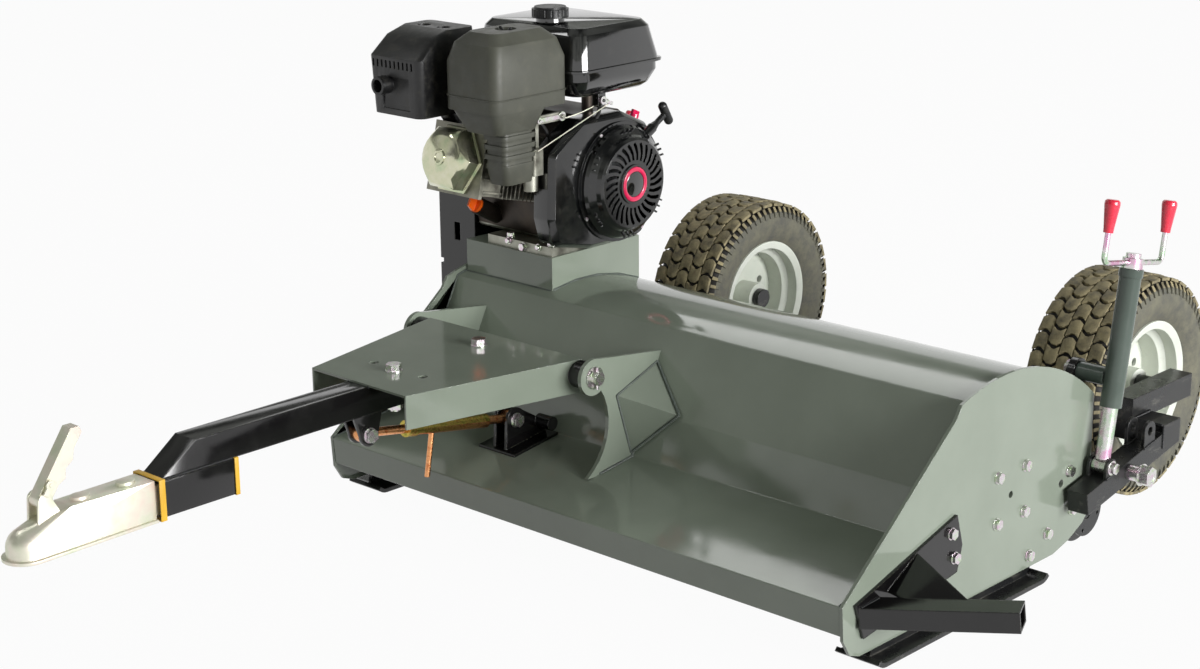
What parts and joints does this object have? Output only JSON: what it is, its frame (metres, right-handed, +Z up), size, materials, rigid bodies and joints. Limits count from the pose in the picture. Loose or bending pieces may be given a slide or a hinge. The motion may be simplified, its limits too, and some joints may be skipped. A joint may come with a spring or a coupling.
{
  "type": "flail mower",
  "caption": "Towed flail mower: arched deck with rotor and roller, petrol engine with belt drive, drawbar with ball coupler, wheels on jacked arms.",
  "frame": {"origin": "on the ground, below the middle of the machine's bounding box", "axes": "+X towards the side with the stub tube, +Y from the coupler towards the wheels, +Z up"},
  "size_m": [1.538, 2.151, 0.8943],
  "materials": {
    "deck_paint": "semi gloss",
    "pale_paint": "semi gloss",
    "black_paint": "semi gloss",
    "zinc": "satin",
    "brass_zinc": "satin",
    "cast_grey": "rough",
    "engine_alloy": "rough cast",
    "cover_zinc": "glossy",
    "engine_black": "glossy",
    "olive_plastic": "matte",
    "black_plastic": "matte",
    "steel": "satin",
    "black_rubber": "matte",
    "tread": "matte",
    "rim_paint": "satin",
    "red_grip": "glossy",
    "orange_plastic": "glossy"
  },
  "bodies": {
    "deck": {"hood": "deck_paint", "side_plate_near": "pale_paint", "side_plate_far": "pale_paint", "skids": "black_paint", "hitch_ears": "pale_paint", "apron_bracket": "black_paint", "side_stub": "black_paint", "engine_mount": "pale_paint", "belt_guard": "black_paint", "rotor_bearings": "cast_grey", "deck_bolts": "zinc", "trunnion_lugs": "black_paint", "crankcase": "engine_alloy", "cylinder_head": "engine_alloy", "valve_cover": "cover_zinc", "fan_shroud": "engine_black", "recoil_cover": "engine_black", "fuel_tank": "engine_black", "air_cleaner": "olive_plastic", "muffler": "black_paint", "carburettor": "engine_alloy", "plug_lead": "black_rubber", "engine_bolts": "zinc", "drive_belts": "black_rubber"},
    "rotor": {"rotor_tube": "black_paint", "flails": "steel", "driven_pulley": "cast_grey"},
    "crank": {"crankshaft": "steel"},
    "roller": {"rear_roller": "black_paint"},
    "arm_near": {"arm_near": "black_paint"},
    "arm_far": {"arm_far": "black_paint"},
    "wheel_near": {"tyre_near": "tread", "rim_near": "rim_paint"},
    "wheel_far": {"tyre_far": "tread", "rim_far": "rim_paint"},
    "jack_near": {"jack_tube_near": "deck_paint"},
    "jack_far": {"jack_tube_far": "deck_paint"},
    "slide_near": {"jack_slide_near": "zinc"},
    "slide_far": {"jack_slide_far": "zinc"},
    "jack_handle_near": {"jack_crank_near": "zinc", "jack_grips_near": "red_grip"},
    "jack_handle_far": {"jack_crank_far": "zinc", "jack_grips_far": "red_grip"},
    "hitch": {"hitch_frame": "deck_paint", "drawbar": "black_paint", "frame_bolts": "zinc", "coupler": "zinc"},
    "lever": {"coupler_lever": "zinc"},
    "latch": {"coupler_latch": "zinc"},
    "buckle_rear": {"turnbuckle_rear": "brass_zinc"},
    "buckle_front": {"turnbuckle_front": "brass_zinc"},
    "buckle_body": {"turnbuckle_body": "brass_zinc"},
    "starter_handle": {"recoil_handle": "black_plastic"},
    "cap": {"fuel_cap": "black_plastic"},
    "switch": {"stop_switch": "red_grip"},
    "dipstick": {"oil_dipstick": "orange_plastic"},
    "valve": {"fuel_valve": "zinc"},
    "throttle": {"throttle_lever": "zinc"},
    "choke": {"choke_lever": "zinc"},
    "wing_nut": {"cleaner_nut": "black_plastic"}
  },
  "joints": [
    {"name": "crank_spin", "type": "hinge", "parent": "deck", "child": "crank", "pos_m": [-0.4662, 0.352, 0.562], "axis": [1, 0, 0], "continuous": true},
    {"name": "rotor_spin", "type": "hinge", "parent": "deck", "child": "rotor", "pos_m": [-0.0662, 0.291, 0.176], "axis": [1, 0, 0], "continuous": true},
    {"name": "roller_spin", "type": "hinge", "parent": "deck", "child": "roller", "pos_m": [-0.0662, 0.551, 0.071], "axis": [1, 0, 0], "continuous": true},
    {"name": "arm_near_swing", "type": "hinge", "parent": "deck", "child": "arm_near", "pos_m": [0.5648, 0.591, 0.147], "axis": [1, 0, 0], "range_deg": [-16, 0]},
    {"name": "wheel_near_spin", "type": "hinge", "parent": "arm_near", "child": "wheel_near", "pos_m": [0.3918, 0.866, 0.21], "axis": [1, 0, 0], "continuous": true},
    {"name": "jack_near_swing", "type": "hinge", "parent": "deck", "child": "jack_near", "pos_m": [0.5338, 0.558, 0.322], "axis": [1, 0, 0], "range_deg": [-0.1, 2.3]},
    {"name": "jack_near_screw", "type": "slide", "parent": "jack_near", "child": "slide_near", "axis": [0, -0.1812, -0.9835], "range_m": [-0.0175, 0.0002]},
    {"name": "jack_near_turn", "type": "hinge", "parent": "jack_near", "child": "jack_handle_near", "pos_m": [0.5648, 0.558, 0.322], "axis": [0, 0.1812, 0.9835], "range_deg": [-1560, 5]},
    {"name": "arm_far_swing", "type": "hinge", "parent": "deck", "child": "arm_far", "pos_m": [-0.6972, 0.591, 0.147], "axis": [1, 0, 0], "range_deg": [-16, 0]},
    {"name": "wheel_far_spin", "type": "hinge", "parent": "arm_far", "child": "wheel_far", "pos_m": [-0.5242, 0.866, 0.21], "axis": [1, 0, 0], "continuous": true},
    {"name": "jack_far_swing", "type": "hinge", "parent": "deck", "child": "jack_far", "pos_m": [-0.6662, 0.558, 0.322], "axis": [1, 0, 0], "range_deg": [-0.1, 2.3]},
    {"name": "jack_far_screw", "type": "slide", "parent": "jack_far", "child": "slide_far", "axis": [0, -0.1812, -0.9835], "range_m": [-0.0175, 0.0002]},
    {"name": "jack_far_turn", "type": "hinge", "parent": "jack_far", "child": "jack_handle_far", "pos_m": [-0.6972, 0.558, 0.322], "axis": [0, 0.1812, 0.9835], "range_deg": [-1560, 5]},
    {"name": "hitch_tilt", "type": "hinge", "parent": "deck", "child": "hitch", "pos_m": [-0.3412, -0.032, 0.321], "axis": [1, 0, 0], "range_deg": [-7, 7]},
    {"name": "buckle_swing", "type": "hinge", "parent": "deck", "child": "buckle_rear", "pos_m": [-0.3412, -0.017, 0.192], "axis": [1, 0, 0], "range_deg": [-6.5, 6.5]},
    {"name": "buckle_screw", "type": "slide", "parent": "buckle_rear", "child": "buckle_front", "axis": [0, -0.9851, 0.1717], "range_m": [-0.0155, 0.0155]},
    {"name": "buckle_turn", "type": "hinge", "parent": "buckle_rear", "child": "buckle_body", "pos_m": [-0.3412, -0.017, 0.192], "axis": [0, -0.9851, 0.1717], "range_deg": [-100, 100]},
    {"name": "lever_lift", "type": "hinge", "parent": "hitch", "child": "lever", "pos_m": [-0.3412, -1.007, 0.312], "axis": [1, 0, 0], "range_deg": [-44, 25]},
    {"name": "latch_flip", "type": "hinge", "parent": "lever", "child": "latch", "pos_m": [-0.3242, -0.99703, 0.33653], "axis": [1, 0, 0], "range_deg": [0, 35]},
    {"name": "starter_pull", "type": "slide", "parent": "deck", "child": "starter_handle", "axis": [0, 0.866, 0.5], "range_m": [0, 0.45]},
    {"name": "cap_turn", "type": "hinge", "parent": "deck", "child": "cap", "pos_m": [-0.5162, 0.284, 0.88], "axis": [0, 0, 1], "range_deg": [-90, 0]},
    {"name": "switch_turn", "type": "hinge", "parent": "deck", "child": "switch", "pos_m": [-0.4342, 0.4259, 0.669], "axis": [0, 0.4158, 0.9095], "range_deg": [0, 60]},
    {"name": "dipstick_turn", "type": "hinge", "parent": "deck", "child": "dipstick", "pos_m": [-0.6112, 0.227, 0.486], "axis": [0, -0.8829, 0.4695], "range_deg": [0, 360]},
    {"name": "valve_turn", "type": "hinge", "parent": "deck", "child": "valve", "pos_m": [-0.3992, 0.303, 0.726], "axis": [1, 0, 0], "range_deg": [-60, 8]},
    {"name": "throttle_turn", "type": "hinge", "parent": "deck", "child": "throttle", "pos_m": [-0.4302, 0.223, 0.704], "axis": [1, 0, 0], "range_deg": [-4, 12]},
    {"name": "choke_turn", "type": "hinge", "parent": "deck", "child": "choke", "pos_m": [-0.4542, 0.152, 0.656], "axis": [0, 0, 1], "range_deg": [-50, 0]},
    {"name": "wing_nut_turn", "type": "hinge", "parent": "deck", "child": "wing_nut", "pos_m": [-0.4642, 0.114, 0.87], "axis": [0, 0, 1], "continuous": true}
  ],
  "couplings": [
    {"joint": "rotor_spin", "follows": "crank_spin", "ratio": 1},
    {"joint": "jack_near_swing", "follows": "arm_near_swing", "ratio": -0.13457},
    {"joint": "jack_near_screw", "follows": "arm_near_swing", "m_per_rad": 0.061793},
    {"joint": "jack_near_turn", "follows": "arm_near_swing", "ratio": 97.064},
    {"joint": "jack_far_swing", "follows": "arm_far_swing", "ratio": -0.13457},
    {"joint": "jack_far_screw", "follows": "arm_far_swing", "m_per_rad": 0.061793},
    {"joint": "jack_far_turn", "follows": "arm_far_swing", "ratio": 97.064},
    {"joint": "buckle_swing", "follows": "hitch_tilt", "ratio": 0.8969},
    {"joint": "buckle_screw", "follows": "hitch_tilt", "m_per_rad": -0.1244}
  ]
}
